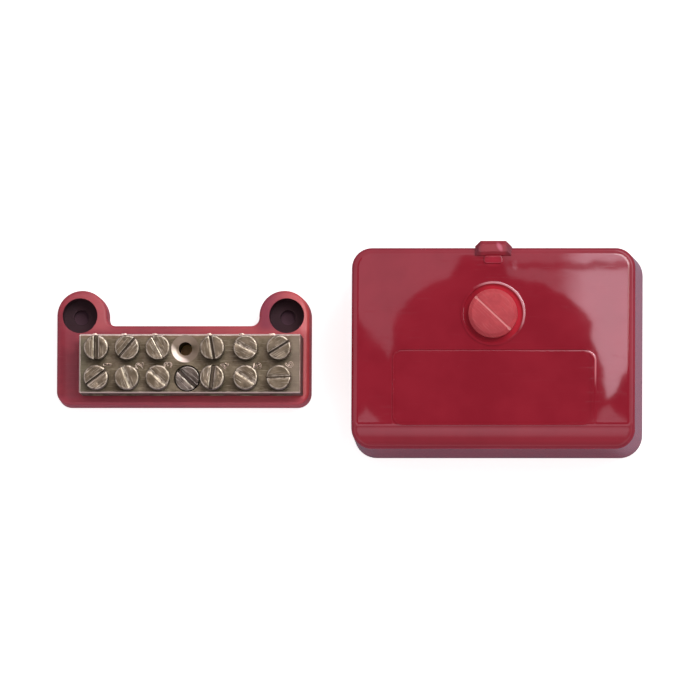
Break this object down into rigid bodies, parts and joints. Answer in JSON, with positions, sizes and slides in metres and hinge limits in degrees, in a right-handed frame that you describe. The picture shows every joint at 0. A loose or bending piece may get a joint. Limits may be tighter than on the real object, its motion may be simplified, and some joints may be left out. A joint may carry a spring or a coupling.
{
  "type": "terminal block",
  "caption": "Taken-apart sealable terminal block: a two-eared base whose brass bar clamps cables in tunnels under slotted screws, and its sloped cover with a captive screw.",
  "frame": {"origin": "midway between the two fixing holes in the ears, on the base's back face", "axes": "+X along the terminal bar towards way 6 and the cover, +Y from the bar towards the ears, +Z out of the back face towards the screw heads"},
  "size_m": [0.1935, 0.0691, 0.0385],
  "materials": {
    "base_moulding": "semi-gloss moulding, red",
    "cover_moulding": "high gloss moulding, deep red",
    "cover_screw_moulding": "matte, coral red",
    "bar_brass": "dull, tarnished brass",
    "screw_brass": "turned brass, dinged",
    "fixing_steel": "zinc-plated steel",
    "stud_brass": "turned brass",
    "washer_fibre": "vulcanised fibre"
  },
  "bodies": {
    "block": {"base": "base_moulding", "terminal_bar": "bar_brass", "bar_fixing_screw": "fixing_steel", "bar_fixing_nut": "fixing_steel", "cover": "cover_moulding"},
    "terminal_screw_1_rear_body": {"terminal_screw_1_rear": "screw_brass"},
    "terminal_screw_1_front_body": {"terminal_screw_1_front": "screw_brass"},
    "terminal_screw_2_rear_body": {"terminal_screw_2_rear": "screw_brass"},
    "terminal_screw_2_front_body": {"terminal_screw_2_front": "screw_brass"},
    "terminal_screw_3_rear_body": {"terminal_screw_3_rear": "screw_brass"},
    "terminal_screw_3_front_body": {"terminal_screw_3_front": "screw_brass"},
    "terminal_screw_4_rear_body": {"terminal_screw_4_rear": "screw_brass"},
    "terminal_screw_4_front_body": {"terminal_screw_4_front": "screw_brass"},
    "terminal_screw_5_rear_body": {"terminal_screw_5_rear": "screw_brass"},
    "terminal_screw_5_front_body": {"terminal_screw_5_front": "screw_brass"},
    "terminal_screw_6_rear_body": {"terminal_screw_6_rear": "screw_brass"},
    "terminal_screw_6_front_body": {"terminal_screw_6_front": "screw_brass"},
    "cover_screw": {"cover_screw_head": "cover_screw_moulding", "cover_screw_stud": "stud_brass", "cover_screw_washer": "washer_fibre"}
  },
  "joints": [
    {"name": "screw_1_rear_travel", "type": "slide", "parent": "block", "child": "terminal_screw_1_rear_body", "axis": [0, 0, 1], "range_m": [-0.00295, 0.002]},
    {"name": "screw_1_front_travel", "type": "slide", "parent": "block", "child": "terminal_screw_1_front_body", "axis": [0, 0, 1], "range_m": [-0.00283, 0.002]},
    {"name": "screw_2_rear_travel", "type": "slide", "parent": "block", "child": "terminal_screw_2_rear_body", "axis": [0, 0, 1], "range_m": [-0.00287, 0.002]},
    {"name": "screw_2_front_travel", "type": "slide", "parent": "block", "child": "terminal_screw_2_front_body", "axis": [0, 0, 1], "range_m": [-0.0026, 0.002]},
    {"name": "screw_3_rear_travel", "type": "slide", "parent": "block", "child": "terminal_screw_3_rear_body", "axis": [0, 0, 1], "range_m": [-0.00297, 0.002]},
    {"name": "screw_3_front_travel", "type": "slide", "parent": "block", "child": "terminal_screw_3_front_body", "axis": [0, 0, 1], "range_m": [-0.00266, 0.002]},
    {"name": "screw_4_rear_travel", "type": "slide", "parent": "block", "child": "terminal_screw_4_rear_body", "axis": [0, 0, 1], "range_m": [-0.00297, 0.002]},
    {"name": "screw_4_front_travel", "type": "slide", "parent": "block", "child": "terminal_screw_4_front_body", "axis": [0, 0, 1], "range_m": [-0.00293, 0.002]},
    {"name": "screw_5_rear_travel", "type": "slide", "parent": "block", "child": "terminal_screw_5_rear_body", "axis": [0, 0, 1], "range_m": [-0.00269, 0.002]},
    {"name": "screw_5_front_travel", "type": "slide", "parent": "block", "child": "terminal_screw_5_front_body", "axis": [0, 0, 1], "range_m": [-0.00268, 0.002]},
    {"name": "screw_6_rear_travel", "type": "slide", "parent": "block", "child": "terminal_screw_6_rear_body", "axis": [0, 0, 1], "range_m": [-0.00282, 0.002]},
    {"name": "screw_6_front_travel", "type": "slide", "parent": "block", "child": "terminal_screw_6_front_body", "axis": [0, 0, 1], "range_m": [-0.00276, 0.002]},
    {"name": "cover_screw_turn", "type": "hinge", "parent": "block", "child": "cover_screw", "pos_m": [0.1039, -0.0013, 0.0346], "axis": [0, 0, 1], "continuous": true}
  ]
}
